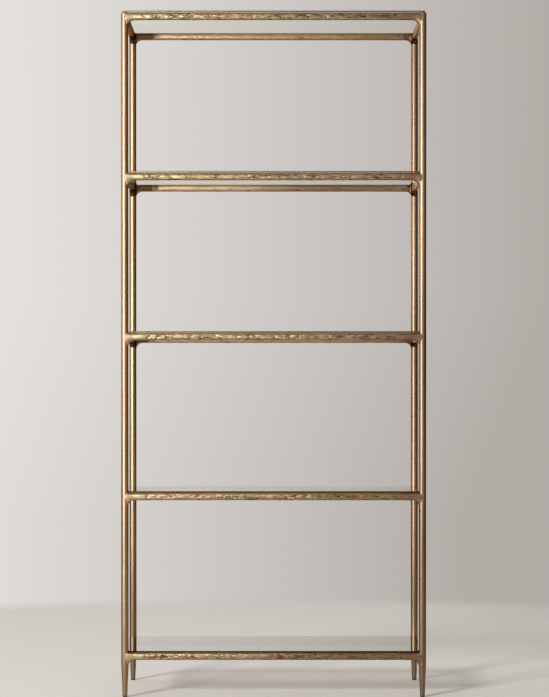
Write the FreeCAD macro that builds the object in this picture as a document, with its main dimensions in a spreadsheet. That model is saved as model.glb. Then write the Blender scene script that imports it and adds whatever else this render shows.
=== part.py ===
import FreeCAD, Part
import math
import os

import Sketcher
from FreeCAD import Placement, Rotation, Vector

# A tall open etagere: four round legs, five levels of forged rails welded between them,
# and a loose glass shelf lying on soft pads over the rails of each level.
# The origin is on the floor in the middle of the footprint, +Z up, -Y to the front.

SIZES = [
    ("leg_spacing_x", 892.0, "leg centres, left to right"),
    ("leg_spacing_y", 384.0, "leg centres, front to rear"),
    ("leg_diameter", 22.0, "round bar of the legs"),
    ("leg_end_radius", 2.0, "rounding of a leg's upper end"),
    ("foot_diameter", 14.0, "lower end of a leg's tapered foot"),
    ("lowest_underside", 111.0, "floor to the underside of the lowest rails"),
    ("shelf_pitch", 479.0, "one level to the next"),
    ("rail_height", 22.0, "forged bar of the rails, upright"),
    ("rail_width", 20.0, "forged bar of the rails, across"),
    ("rail_corner_radius", 7.0, "rounding along the rails"),
    ("knee_radius", 16.0, "hollow under each end of a rail"),
    ("knee_toe", 1.5, "thickness of a knee's lower tip"),
    ("knee_width", 14.0, "knee, across the rail"),
    ("knee_edge_radius", 5.0, "rounding along a knee's hollow"),
    ("weld_gap", 0.1, "rail end to leg, and mitre to mitre"),
    ("glide_diameter", 13.0, "floor glide under each foot"),
    ("glide_height", 3.0, "floor glide below the foot"),
    ("glide_edge_radius", 1.0, "rounding of the glide's lower edge"),
    ("stem_diameter", 6.0, "glide's stem"),
    ("stem_length", 14.0, "glide's stem, above the foot's end"),
    ("stem_clearance", 0.05, "stem to bore, on the radius"),
    ("bore_spare_depth", 1.0, "bore above the stem's end"),
    ("glass_thickness", 5.0, "shelf glass"),
    ("glass_inset", 4.0, "glass edge inside the legs' outer faces"),
    ("glass_corner_radius", 8.0, "corners of the uppermost glass"),
    ("glass_arris", 0.8, "ground arris along the glass edges"),
    ("notch_clearance", 2.0, "glass notch to leg"),
    ("pad_diameter", 8.0, "clear pad under the glass"),
    ("pad_thickness", 0.5, "clear pad under the glass"),
    ("pad_end_distance", 70.0, "outer pads from the leg centres"),
    ("anchor_spacing", 600.0, "tapped holes for the wall restraint"),
    ("anchor_diameter", 5.0, "tapping bore of those holes"),
    ("anchor_depth", 12.0, "depth of those holes"),
]

LEVELS = ("bottom", "lower", "middle", "upper", "top")
CORNERS = {
    "front_left": (-1, -1),
    "front_right": (1, -1),
    "rear_left": (-1, 1),
    "rear_right": (1, 1),
}

# Lengths and heights that several pieces share
HALF_X = "sizes.leg_spacing_x / 2"
HALF_Y = "sizes.leg_spacing_y / 2"
LEG_RADIUS = "sizes.leg_diameter / 2"
BORE_RADIUS = "(sizes.stem_diameter / 2 + sizes.stem_clearance)"
BORE_DEPTH = "(sizes.stem_length + sizes.bore_spare_depth)"
KNEE_START = f"({LEG_RADIUS} + sizes.knee_toe + sizes.knee_radius)"
GLASS_X = f"({HALF_X} + {LEG_RADIUS} - sizes.glass_inset)"
GLASS_Y = f"({HALF_Y} + {LEG_RADIUS} - sizes.glass_inset)"

doc = FreeCAD.newDocument("etagere")
sheet = doc.addObject("Spreadsheet::Sheet", "sizes")
for row, (alias, size, meaning) in enumerate(SIZES, 1):
    sheet.set(f"A{row}", meaning)
    sheet.set(f"B{row}", str(size))
    sheet.setAlias(f"B{row}", alias)
doc.recompute()

subparts = []


def underside(level):
    """The height of a level's rails' underside, as an expression."""
    return f"(sizes.lowest_underside + {LEVELS.index(level)} * sizes.shelf_pitch)"


def seat(level):
    """The height of a level's rails' flat top, where the pads sit."""
    return f"({underside(level)} + sizes.rail_height)"


LEG_TOP = seat("top")


def value(expression):
    return float(sheet.evalExpression(expression))


def new_body(label, x="0", y="0", z="0", turn=0):
    """A body for one sub-part, turned about the upright and placed by expressions."""
    body = doc.addObject("PartDesign::Body", label)
    body.Label = label
    body.Placement = Placement(Vector(), Rotation(Vector(0, 0, 1), turn))
    for axis, place in zip("xyz", (x, y, z)):
        body.setExpression(f"Placement.Base.{axis}", place)
    subparts.append(body)
    return body


def new_sketch(body, name, role, up="0", out="0"):
    """A sketch on an origin plane, moved up in the plane and out along its normal."""
    plane = next(f for f in body.Origin.OriginFeatures if f.Role == role)
    sketch = body.newObject("Sketcher::SketchObject", name)
    sketch.AttachmentSupport = [(plane, "")]
    sketch.MapMode = "FlatFace"
    sketch.setExpression("AttachmentOffset.Base.y", up)
    sketch.setExpression("AttachmentOffset.Base.z", out)
    return sketch


def hold(sketch, kind, place, expression):
    """Bind one dimension of a sketch to the sizes."""
    index = sketch.addConstraint(Sketcher.Constraint(kind, *place, value(expression)))
    name = f"{kind}_{index}"
    sketch.renameConstraint(index, name)
    sketch.setExpression(f"Constraints.{name}", expression)


def hold_point(sketch, geometry, point, x, y):
    """Bind a point's place, from the sketch's origin."""
    for kind, axis, place in (("DistanceX", -2, x), ("DistanceY", -1, y)):
        if place == "0":
            sketch.addConstraint(Sketcher.Constraint("PointOnObject", geometry, point, axis))
        else:
            hold(sketch, kind, (-1, 1, geometry, point), place)


def draw_circle(sketch, x, y, radius):
    centre = Vector(value(x), value(y), 0)
    circle = sketch.addGeometry(Part.Circle(centre, Vector(0, 0, 1), value(radius)), False)
    hold_point(sketch, circle, 3, x, y)
    hold(sketch, "Radius", (circle,), radius)


def arc_between(start, end, radius, turn):
    """The short arc from start to end, with its centre to the left for turn 1, right for -1."""
    chord = end - start
    rise = math.sqrt(max(radius**2 - chord.Length**2 / 4, 0))
    side = Vector(-chord.y, chord.x, 0).normalize() * turn
    centre = (start + end) / 2 + side * rise
    angles = [math.atan2(p.y - centre.y, p.x - centre.x) for p in (start, end)]
    circle = Part.Circle(centre, Vector(0, 0, 1), radius)
    return Part.ArcOfCircle(circle, *(angles if turn > 0 else reversed(angles)))


def draw_outline(sketch, corners, arcs=None):
    """Draw a closed outline through corners that are pairs of expressions.

    Each edge runs from its corner to the next one. It is straight, unless arcs gives it
    a radius and a turn: 1 for a centre to the left of the way along it, -1 to the right.
    """
    arcs = arcs or {}
    points = [Vector(value(x), value(y), 0) for x, y in corners]
    edges = []
    for index, start in enumerate(points):
        end = points[(index + 1) % len(points)]
        if index in arcs:
            radius, turn = arcs[index]
            geometry = sketch.addGeometry(arc_between(start, end, value(radius), turn), False)
            edges.append((geometry, 1, 2) if turn > 0 else (geometry, 2, 1))
            continue
        edges.append((sketch.addGeometry(Part.LineSegment(start, end), False), 1, 2))
    for index, (geometry, first, _) in enumerate(edges):
        before, _, last = edges[index - 1]
        sketch.addConstraint(Sketcher.Constraint("Coincident", before, last, geometry, first))
        hold_point(sketch, geometry, first, *corners[index])
    for index, (radius, _) in arcs.items():
        hold(sketch, "Radius", (edges[index][0],), radius)


def rectangle(half_x, half_y):
    return [
        (f"-{half_x}", f"-{half_y}"),
        (half_x, f"-{half_y}"),
        (half_x, half_y),
        (f"-{half_x}", half_y),
    ]


def extrude(body, sketch, name, length):
    pad = body.newObject("PartDesign::Pad", name)
    pad.Profile = sketch
    pad.setExpression("Length", length)
    return pad


def revolve(body, sketch, name, axis, angle=360, reverse=False):
    turned = body.newObject("PartDesign::Revolution", name)
    turned.Profile = sketch
    turned.ReferenceAxis = (sketch, [axis])
    turned.Angle = angle
    turned.Reversed = reverse
    return turned


def cut_through(body, sketch, name):
    """Cut a sketch right through the body, both ways, and be sure that it cut."""
    doc.recompute()
    before = body.Shape.Volume
    pocket = body.newObject("PartDesign::Pocket", name)
    pocket.Profile = sketch
    pocket.Type = "ThroughAll"
    pocket.Midplane = True
    doc.recompute()
    if body.Shape.Volume >= before:
        raise RuntimeError(f"{name} of {body.Label} cut nothing")
    return pocket


def edge_names(shape, wanted):
    return [f"Edge{i}" for i, edge in enumerate(shape.Edges, 1) if wanted(edge)]


def is_level(edge):
    heights = [v.Z for v in edge.Vertexes]
    return max(heights) - min(heights) < 1e-6


# Legs and the glides under them


def leg(corner):
    """A round leg with a tapered foot, bored for the glide's stem."""
    side, depth = CORNERS[corner]
    body = new_body(f"leg_{corner}", f"{side} * {HALF_X}", f"{depth} * {HALF_Y}")
    sketch = new_sketch(body, "leg_profile", "XZ_Plane")
    foot = "sizes.glide_height"
    bore_end = f"({foot} + {BORE_DEPTH})"
    corners = [
        (BORE_RADIUS, foot),
        ("sizes.foot_diameter / 2", foot),
        (LEG_RADIUS, "sizes.lowest_underside - sizes.knee_radius"),
        (LEG_RADIUS, f"{LEG_TOP} - sizes.leg_end_radius"),
        (f"{LEG_RADIUS} - sizes.leg_end_radius", LEG_TOP),
        ("0", LEG_TOP),
        ("0", bore_end),
        (BORE_RADIUS, bore_end),
    ]
    draw_outline(sketch, corners, {3: ("sizes.leg_end_radius", 1)})
    revolve(body, sketch, "leg_bar", "V_Axis")


def foot_glide(corner):
    """A glide whose disc meets the foot's end and whose stem stands in the foot's bore."""
    side, depth = CORNERS[corner]
    body = new_body(f"foot_glide_{corner}", f"{side} * {HALF_X}", f"{depth} * {HALF_Y}")
    sketch = new_sketch(body, "glide_profile", "XZ_Plane")
    radius = "sizes.glide_diameter / 2"
    stem_end = "sizes.glide_height + sizes.stem_length"
    corners = [
        ("0", "0"),
        (f"{radius} - sizes.glide_edge_radius", "0"),
        (radius, "sizes.glide_edge_radius"),
        (radius, "sizes.glide_height"),
        ("sizes.stem_diameter / 2", "sizes.glide_height"),
        ("sizes.stem_diameter / 2", stem_end),
        ("0", stem_end),
    ]
    draw_outline(sketch, corners, {1: ("sizes.glide_edge_radius", 1)})
    revolve(body, sketch, "glide_disc", "V_Axis")


# Rails, each from one leg's centre to the next along its own X, with the shelf on its +Y side


def rail_bar(body, length):
    """The forged bar: a rounded section with a flat top for the pads."""
    sketch = new_sketch(body, "bar_section", "YZ_Plane")
    half, top, radius = "sizes.rail_width / 2", "sizes.rail_height", "sizes.rail_corner_radius"
    corners = [
        (f"-{half} + {radius}", "0"),
        (f"{half} - {radius}", "0"),
        (half, radius),
        (half, f"{top} - {radius}"),
        (f"{half} - {radius}", top),
        (f"-{half} + {radius}", top),
        (f"-{half}", f"{top} - {radius}"),
        (f"-{half}", radius),
    ]
    draw_outline(sketch, corners, {edge: (radius, 1) for edge in (1, 3, 5, 7)})
    extrude(body, sketch, "bar", length)


def rail_knee(body, end, place, reverse):
    """The knee under one end: a rounded web turned a quarter about the hollow's centre."""
    sketch = new_sketch(body, f"knee_section_{end}", "YZ_Plane", "-sizes.knee_radius", place)
    half, edge = "sizes.knee_width / 2", "sizes.knee_edge_radius"
    near = "sizes.knee_radius"
    far = "(sizes.knee_radius + sizes.rail_height / 2)"
    corners = [
        (f"-{half} + {edge}", near),
        (f"{half} - {edge}", near),
        (half, f"{near} + {edge}"),
        (half, far),
        (f"-{half}", far),
        (f"-{half}", f"{near} + {edge}"),
    ]
    draw_outline(sketch, corners, {1: (edge, 1), 5: (edge, 1)})
    before = body.Shape.Volume
    revolve(body, sketch, f"knee_{end}", "H_Axis", 90, reverse)
    doc.recompute()
    if body.Shape.Volume <= before:
        raise RuntimeError(f"knee_{end} of {body.Label} added nothing")


def rail_ends(body, length):
    """Cope both ends round the legs, and mitre their inner corners against the next rails."""
    cope = new_sketch(body, "cope", "XY_Plane")
    for centre in ("0", length):
        draw_circle(cope, centre, "0", f"{LEG_RADIUS} + sizes.weld_gap")
    cut_through(body, cope, "coped_ends")
    mitre = new_sketch(body, "mitre", "XY_Plane")
    gap, far = "sizes.weld_gap", "sizes.rail_width"
    draw_outline(mitre, [("0", "0"), (gap, "0"), (f"{gap} + {far}", far), ("0", far)])
    finish = [
        (length, "0"),
        (length, far),
        (f"{length} - {gap} - {far}", far),
        (f"{length} - {gap}", "0"),
    ]
    draw_outline(mitre, finish)
    cut_through(body, mitre, "mitred_ends")


def anchor_holes(body, length):
    """Two blind tapping bores in a rail's outer face, for a wall restraint."""
    sketch = new_sketch(body, "anchor_bores", "XZ_Plane", out="sizes.rail_width / 2")
    for side in (-1, 1):
        centre = f"{length} / 2 + {side} * sizes.anchor_spacing / 2"
        draw_circle(sketch, centre, "sizes.rail_height / 2", "sizes.anchor_diameter / 2")
    doc.recompute()
    before = body.Shape.Volume
    pocket = body.newObject("PartDesign::Pocket", "anchor_holes")
    pocket.Profile = sketch
    pocket.setExpression("Length", "sizes.anchor_depth")
    doc.recompute()
    if body.Shape.Volume >= before:
        raise RuntimeError("the anchor holes cut nothing")


def rail(side, level):
    """One rail of a level. Front and rear rails run across, left and right ones fore and aft."""
    length, x, y, turn = {
        "front": ("sizes.leg_spacing_x", f"-{HALF_X}", f"-{HALF_Y}", 0),
        "right": ("sizes.leg_spacing_y", HALF_X, f"-{HALF_Y}", 90),
        "rear": ("sizes.leg_spacing_x", HALF_X, HALF_Y, 180),
        "left": ("sizes.leg_spacing_y", f"-{HALF_X}", HALF_Y, 270),
    }[side]
    body = new_body(f"rail_{side}_{level}", x, y, underside(level), turn)
    rail_bar(body, length)
    doc.recompute()
    rail_knee(body, "start", KNEE_START, True)
    rail_knee(body, "finish", f"{length} - {KNEE_START}", False)
    rail_ends(body, length)
    if (side, level) == ("rear", "top"):
        anchor_holes(body, length)


# Glass shelves and the pads that they lie on


def shelf_pads(level):
    """Soft pads on the flat tops of a level's front and rear rails."""
    body = new_body(f"shelf_pads_{level}", z=seat(level))
    sketch = new_sketch(body, "pad_circles", "XY_Plane")
    outer = f"({HALF_X} - sizes.pad_end_distance)"
    for depth in (HALF_Y, f"-{HALF_Y}"):
        for place in (f"-{outer}", "0", outer):
            draw_circle(sketch, place, depth, "sizes.pad_diameter / 2")
    extrude(body, sketch, "pads", "sizes.pad_thickness")


def grind_edges(body):
    """Take the sharp arris off the glass, above and below."""
    doc.recompute()
    base = body.Tip
    chamfer = body.newObject("PartDesign::Chamfer", "arris")
    chamfer.Base = (base, edge_names(base.Shape, is_level))
    chamfer.setExpression("Size", "sizes.glass_arris")


def glass_shelf(level):
    """A glass shelf. The lower ones are notched round the legs, the top one lies over them."""
    body = new_body(f"glass_shelf_{level}", z=f"{seat(level)} + sizes.pad_thickness")
    sketch = new_sketch(body, "glass_outline", "XY_Plane")
    draw_outline(sketch, rectangle(GLASS_X, GLASS_Y))
    pane = extrude(body, sketch, "pane", "sizes.glass_thickness")
    doc.recompute()
    if level == "top":
        rounding = body.newObject("PartDesign::Fillet", "rounded_corners")
        rounding.Base = (pane, edge_names(pane.Shape, lambda edge: not is_level(edge)))
        rounding.setExpression("Radius", "sizes.glass_corner_radius")
    else:
        notches = new_sketch(body, "leg_notches", "XY_Plane")
        for side, depth in CORNERS.values():
            x, y = f"{side} * {HALF_X}", f"{depth} * {HALF_Y}"
            draw_circle(notches, x, y, f"{LEG_RADIUS} + sizes.notch_clearance")
        cut_through(body, notches, "notches")
    grind_edges(body)


for corner in CORNERS:
    leg(corner)
    foot_glide(corner)
for level in LEVELS:
    for side in ("front", "right", "rear", "left"):
        rail(side, level)
    shelf_pads(level)
    glass_shelf(level)
doc.recompute()

# Nothing is written unless every feature and every solid is sound
for item in doc.Objects:
    if "Invalid" in item.State or "Error" in item.State:
        raise RuntimeError(f"{item.Name} failed: {item.State}")
for body in subparts:
    if body.Shape.isNull() or not body.Shape.isValid() or not body.Shape.Solids:
        raise RuntimeError(f"{body.Label} has no sound solid")

os.makedirs("parts", exist_ok=True)
for body in subparts:
    body.Shape.exportStep(f"parts/{body.Label}.step")
    print(f"{body.Label}: {len(body.Shape.Solids)} solids, {body.Shape.Volume / 1000:.1f} cm3")
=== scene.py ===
"""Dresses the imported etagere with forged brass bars, soft pads and clear glass, and sets a plain studio."""
import math
from typing import NamedTuple

import bmesh
import bpy
from bpy.props import FloatProperty, FloatVectorProperty, IntProperty, PointerProperty
from bpy.types import Operator, Panel, PropertyGroup
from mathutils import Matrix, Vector, noise


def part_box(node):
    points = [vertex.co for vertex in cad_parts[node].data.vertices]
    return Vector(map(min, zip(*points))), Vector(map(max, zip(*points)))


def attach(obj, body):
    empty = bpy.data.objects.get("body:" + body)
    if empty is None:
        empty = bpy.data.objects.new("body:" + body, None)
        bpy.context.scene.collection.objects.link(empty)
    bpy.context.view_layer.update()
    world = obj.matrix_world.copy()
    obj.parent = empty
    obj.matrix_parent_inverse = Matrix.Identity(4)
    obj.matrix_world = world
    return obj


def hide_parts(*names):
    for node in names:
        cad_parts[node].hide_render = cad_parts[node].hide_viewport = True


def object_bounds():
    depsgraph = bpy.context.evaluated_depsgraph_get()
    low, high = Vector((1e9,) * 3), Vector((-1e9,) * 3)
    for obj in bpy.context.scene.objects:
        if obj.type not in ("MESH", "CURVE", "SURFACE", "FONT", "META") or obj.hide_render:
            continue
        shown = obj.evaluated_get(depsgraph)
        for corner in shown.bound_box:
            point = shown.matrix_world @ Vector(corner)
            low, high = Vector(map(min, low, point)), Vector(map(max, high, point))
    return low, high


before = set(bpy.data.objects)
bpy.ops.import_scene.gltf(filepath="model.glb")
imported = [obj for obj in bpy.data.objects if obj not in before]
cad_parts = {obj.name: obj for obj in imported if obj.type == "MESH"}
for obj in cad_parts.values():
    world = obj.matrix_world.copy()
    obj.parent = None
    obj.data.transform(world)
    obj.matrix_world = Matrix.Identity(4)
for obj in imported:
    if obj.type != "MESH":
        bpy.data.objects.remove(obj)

bl_info = {
    "name": "Forged etagere",
    "version": (1, 0, 0),
    "blender": (4, 5, 0),
    "location": "View3D > Sidebar > Etagere",
    "description": "Dresses the packed etagere with forged bars, pads and glass, and sets the studio",
    "category": "Add Mesh",
}

CAD_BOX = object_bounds()
FRAME_BODY = "frame"
LEVELS = ("bottom", "lower", "middle", "upper", "top")
CORNERS = ("front_left", "front_right", "rear_left", "rear_right")
RAIL_RUNS = {
    "front": ("front_left", "front_right"),
    "right": ("front_right", "rear_right"),
    "rear": ("rear_right", "rear_left"),
    "left": ("rear_left", "front_left"),
}
UP = Vector((0.0, 0.0, 1.0))
MARKS = ("relief", "joint_tint_and_shade", "rub_and_edge_shade", "inside", "patina_and_shade")

# Drift of the finish over the frame, with places across it in metres: random patina, with painted shade
# deeper on the right and low down, and painted light at the rails' left ends
PATINA_SEED = Vector((22.28, 23.85, 15.23))
PATINA_PITCH = 1.7
PATINA_SWING = 0.9
PATINA_BASE = 0.36
PAINTED_SHADE_FALL = 0.12
RAIL_SHADE_SLOPE = 0.85
LEG_SHADE_SLOPE = 0.50
RIGHT_PAINTED_SHADE = 0.72
TOP_RIGHT_PAINTED_SHADE = 0.42
SIDE_PAINTED_SHADE = 0.20
RIGHT_SHADE_START = 0.10
RIGHT_SHADE_LENGTH = 0.30
LEFT_LIGHT_START = -0.50
LEFT_LIGHT_LENGTH = 0.60


def leg_axis(corner):
    """Middle line of a leg, as a point at floor height."""
    low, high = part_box("leg_" + corner)
    middle = (low + high) / 2
    return Vector((middle.x, middle.y, 0.0))


LEG_LOW, LEG_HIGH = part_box("leg_front_left")
LEG_RADIUS = (LEG_HIGH.x - LEG_LOW.x) / 2
RAIL_LOW, RAIL_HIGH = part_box("rail_front_bottom")
RAIL_WIDTH = RAIL_HIGH.y - RAIL_LOW.y
RAIL_TOPS = {level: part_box("shelf_pads_" + level)[0].z for level in LEVELS}
FOOT_TAPER_TOP = RAIL_LOW.z

# Mesh fineness of the forged bars
CORNER_STEPS = 7
FLAT_CUTS = 3
THROAT_RINGS = 16
RING_SPACING = 0.0018
LEG_SEGMENTS = 48
LEG_RING_SPACING = 0.004
LEG_CROWN_RINGS = 5
DRILL_SEGMENTS = 32
PAD_SEGMENTS = 28
PAD_ROUND_STEPS = 3

# Small allowances of the pieces, in metres unless they are shares
JOINT_SINK = 0.0004
LEAST_CROWN_TRAVEL = 0.002
PAD_GAP = 0.05
PAD_TAPER = 0.93
SAME_POINT = 1e-6
FLAT_ANGLE = math.radians(0.5)

# Fall of the hammer blows
BLOW_WARP = 0.35
BLOW_WARP_PITCH = 0.7
LUMP_REACH = 0.8
CREASE_WIDTH = 0.32
WEAR_SEED = Vector((7.3, 1.9, 4.1))
WEAR_PITCH = 0.45
WEAR_SWING = 0.9
COARSE_BLOWS = 0.7
FINE_BLOWS = 0.3
FINE_BLOW_SIZE = 0.42
JOINT_WANDER = 0.010
JOINT_WANDER_PITCH = 90.0
KNEE_SIZE = 1.15
KNEE_SWING = 0.45
KNEE_PITCH = 7.0
# Painted shade on the rails' inner faces by the legs: how its reach varies and turns across the frame
SHADE_REACH_SWING = 0.9
SHADE_REACH_PITCH = 9.0
SHADE_REACH_TURN = 2.0
SHADE_REACH_DRAWN_BACK = 0.25
LEG_REST = 0.022
LEG_REST_FADE = 0.03
LEG_RELIEF = 0.35


def length_property(name, description, default):
    return FloatProperty(name=name, description=description, default=default, min=0.0,
                         unit="LENGTH", subtype="DISTANCE", precision=4)


def share_property(name, description, default):
    return FloatProperty(name=name, description=description, default=default, min=0.0, max=1.0,
                         subtype="FACTOR")


def colour_property(name, description, default):
    return FloatVectorProperty(name=name, description=description, default=default, size=3,
                               min=0.0, max=1.0, subtype="COLOR")


def power_property(name, description, default):
    return FloatProperty(name=name, description=description, default=default, min=0.0,
                         unit="POWER", subtype="POWER")


class ForgingSettings(PropertyGroup):
    """Shapes left by the smith on the rails and legs."""

    rail_height: length_property("Rail height", "Height of the rail's bar", 0.022)
    rail_corner: length_property("Rail corner", "Radius of the bar's long edges", 0.007)
    crown_reach: length_property("Weld reach", "Reach of the weld on top of a rail's end", 0.003)
    flare_reach: length_property(
        "Flare reach", "Length over which a rail's outer side widens to the leg", 0.026)
    inner_rise: length_property(
        "Inner fillet", "Size of the fillet between two rails inside a corner", 0.004)
    throat_length: length_property(
        "Throat length", "Smooth length between a leg and the hammered bar", 0.050)
    throat_fade: length_property("Throat fade", "Length over which the hammering begins", 0.016)
    tint_fade: length_property("Tint fade", "Length over which a joint's own colour ends", 0.040)
    # Painted shade on the inner faces by the legs: its reach beside the left legs and its fade
    painted_shade_reach: length_property("Painted shade reach", "Length of the dark inner faces beside the left legs", 0.045)
    painted_shade_fade: length_property("Painted shade fade", "Length over which the dark inner faces brighten", 0.060)
    hammer_seed: IntProperty(name="Hammer seed", description="Which set of hammer blows is struck",
                             default=7, min=1)
    bark_depth: length_property("Bark depth", "Depth of the hammered relief", 0.0021)
    bark_length: length_property("Bark length", "Length of one hammered lump along the bar", 0.026)
    bark_width: length_property("Bark width", "Width of one hammered lump across the bar", 0.0085)
    face_crown: length_property("Face crown", "Rounding of a rail's two upright faces", 0.0014)
    inner_bark: share_property("Inner bark", "Share of the relief on a rail's inner face", 0.25)
    under_bark: share_property("Under bark", "Share of the relief on a rail's underside", 0.6)
    leg_facet_depth: length_property("Leg facet depth", "Depth of the long facets on the legs", 0.00020)
    leg_facet_length: length_property("Leg facet length", "Length of one facet on a leg", 0.260)
    leg_facet_width: length_property("Leg facet width", "Width of one facet on a leg", 0.012)
    leg_crown: length_property("Leg crown", "Radius of the rounded edge at a leg's top", 0.002)
    foot_radius: length_property("Foot radius", "Radius of a leg's lower end", 0.007)
    leg_allowance: length_property("Leg allowance", "Hammered away from the leg's full radius", 0.00004)
    anchor_spacing: length_property("Anchor spacing", "Distance between the two wall anchor holes", 0.600)
    anchor_diameter: length_property("Anchor diameter", "Bore of a wall anchor hole", 0.005)
    anchor_depth: length_property("Anchor depth", "Depth of a wall anchor hole", 0.012)
    pad_round: length_property("Pad round", "Rounding of a pad's upper edge", 0.00030)


class FinishSettings(PropertyGroup):
    """Colours of the antiqued brass, the glass and the small plastic pieces."""

    # Umber is also the painted shade on the rails' long edges and on inner faces by the legs
    umber: colour_property("Umber", "Dark patina in the hollows", (0.085, 0.038, 0.016))
    copper: colour_property("Copper", "Rose patches of the brass", (0.770, 0.480, 0.275))
    inner_copper: colour_property(
        "Inner copper", "Faces of the rails inside the frame", (0.840, 0.520, 0.290))
    gold: colour_property("Antique gold", "Main colour of the brass", (0.715, 0.525, 0.335))
    weld_gold: colour_property("Weld gold", "Smooth joints on the lit side", (0.700, 0.570, 0.345))
    rose: colour_property("Rose brown", "Smooth joints on the shaded side", (0.470, 0.270, 0.185))
    olive: colour_property("Olive gold", "Yellow and olive patches of the brass", (0.660, 0.525, 0.280))
    # Maroon also paints the shade on the right and low down
    maroon: colour_property("Maroon", "Deep brown drift of the finish", (0.300, 0.160, 0.095))
    pale_gold: colour_property("Pale gold", "Rubbed high spots of the brass", (0.900, 0.760, 0.560))
    leg_sheen: colour_property("Leg sheen", "Legs at a grazing view", (0.260, 0.120, 0.050))
    long_sheen: colour_property(
        "Long rail sheen", "Front and rear rails at a grazing view", (0.600, 0.400, 0.280))
    # Left rails get a dark grazing sheen as painted shade, right rails a pale one as painted light
    shaded_left_sheen: colour_property("Left rail sheen", "Left rails at a grazing view", (0.260, 0.140, 0.105))
    lit_right_sheen: colour_property("Right rail sheen", "Right rails at a grazing view", (0.930, 0.800, 0.640))
    glass_tint: colour_property("Glass tint", "Faint colour of the glass", (0.985, 0.985, 0.960))
    glass_mirror: colour_property(
        "Glass mirror", "Strength of the reflection in the glass", (0.860, 0.850, 0.830))
    # Rim colours by height: painted shade on the lower sheets, painted light on the higher ones, all standing
    # in for the brass reflected in the rim
    low_edge: colour_property("Low edge", "Rim of the lowest sheet", (0.030, 0.018, 0.008))
    glass_edge: colour_property("Glass edge", "Depth of the glass seen at its rim", (0.130, 0.085, 0.042))
    high_edge: colour_property(
        "High edge", "Rim of the middle sheet, which catches more light", (0.310, 0.220, 0.130))
    top_edge: colour_property("Top edge", "Rim of the highest sheets", (0.470, 0.370, 0.270))
    silicone: colour_property("Silicone", "Clear soft pads", (0.780, 0.800, 0.790))
    nylon: colour_property("Nylon", "Foot glides", (0.022, 0.018, 0.015))


class StageSettings(PropertyGroup):
    """Camera, floor, backdrop and lamps."""

    camera_distance: length_property("Camera distance", "From the middle of the etagere", 6.808)
    camera_height: length_property("Camera height", "Above the floor", 0.9305)
    camera_tilt: FloatProperty(name="Camera tilt", description="Downwards from level", subtype="ANGLE",
                               default=math.radians(0.5))
    lens: FloatProperty(name="Lens", description="Focal length in millimetres", default=114.06, min=1.0)
    shift_x: FloatProperty(name="Shift across", description="Camera shift across", default=0.0012)
    shift_y: FloatProperty(name="Shift up", description="Camera shift up", default=0.0824)
    floor_reach: length_property("Floor reach", "Half the width of the floor", 2.95)
    floor_fade: length_property("Floor fade", "Width of the floor's soft rim", 0.35)
    floor_colour: colour_property("Floor", "Pale floor", (0.800, 0.765, 0.720))
    backdrop_left: colour_property("Backdrop left", "Lit side of the backdrop", (0.791, 0.761, 0.730))
    backdrop_right: colour_property("Backdrop right", "Shaded side of the backdrop", (0.445, 0.413, 0.386))
    room_colour: colour_property(
        "Room", "Room behind the camera, seen only in the metal", (0.205, 0.155, 0.130))
    dark_cloth: colour_property(
        "Dark cloth", "Cards at the sides, seen only in the metal", (0.040, 0.015, 0.004))
    grey_cloth: colour_property(
        "Grey cloth", "Card overhead, seen only in the metal", (0.640, 0.540, 0.420))
    ambient: FloatProperty(name="Ambient", description="Strength of the room's soft light", default=0.35,
                           min=0.0)
    key_power: power_property("Key lamp", "Large soft lamp at the front left", 90.0)
    fill_power: power_property("Fill lamp", "Weak soft lamp at the front right, seen in the metal", 4.0)
    top_power: power_property("Top lamp", "Soft lamp overhead that lights the floor", 72.0)
    shadow_power: power_property("Shadow lamp", "Distant soft lamp that draws the shadows", 1220.0)


class EtagereSettings(PropertyGroup):
    """Everything a user may change."""

    forging: PointerProperty(type=ForgingSettings)
    finish: PointerProperty(type=FinishSettings)
    stage: PointerProperty(type=StageSettings)


def ease(value):
    """Smooth step from 0 to 1."""
    share = min(max(value, 0.0), 1.0)
    return share * share * (3.0 - 2.0 * share)


def clamp(value, limit):
    return min(max(value, -limit), limit)


def blows(point, stretch):
    """Hammered relief: 0 on a lump's crown, rising to 1 in the creases between lumps."""
    spot = Vector((point.x / stretch.x, point.y / stretch.y, point.z / stretch.z))
    spot += BLOW_WARP * noise.noise_vector(spot * BLOW_WARP_PITCH)
    near, second = noise.voronoi(spot)[0][:2]
    crown = min(near / LUMP_REACH, 1.0) ** 2
    crease = 1.0 - ease((second - near) / CREASE_WIDTH)
    worn = ease(0.5 + WEAR_SWING * noise.noise(spot * WEAR_PITCH + WEAR_SEED))
    return 0.5 * crown + 0.5 * crease * worn


def tarnish_and_shade(point, slope):
    """Slow random drift of the patina, from bright at 0 to deep brown at 1, with painted shade making it
    deeper low down and on the right.
    """
    lean = PATINA_BASE + slope * point.x - PAINTED_SHADE_FALL * (point.z - 1.0)
    return ease(lean + PATINA_SWING * noise.noise(point * PATINA_PITCH + PATINA_SEED))


def painted_shade_share(x):
    """Share of the painted shade's reach on the inner faces across the frame: all of it on the left, drawn
    back on the right.
    """
    left = ease(0.5 - SHADE_REACH_TURN * x)
    return left - SHADE_REACH_DRAWN_BACK * (1.0 - left)


def add_marks(blank):
    """Layers on a blank's points that carry the relief and the finish to the materials."""
    return {mark: blank.verts.layers.float.new(mark) for mark in MARKS}


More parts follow.
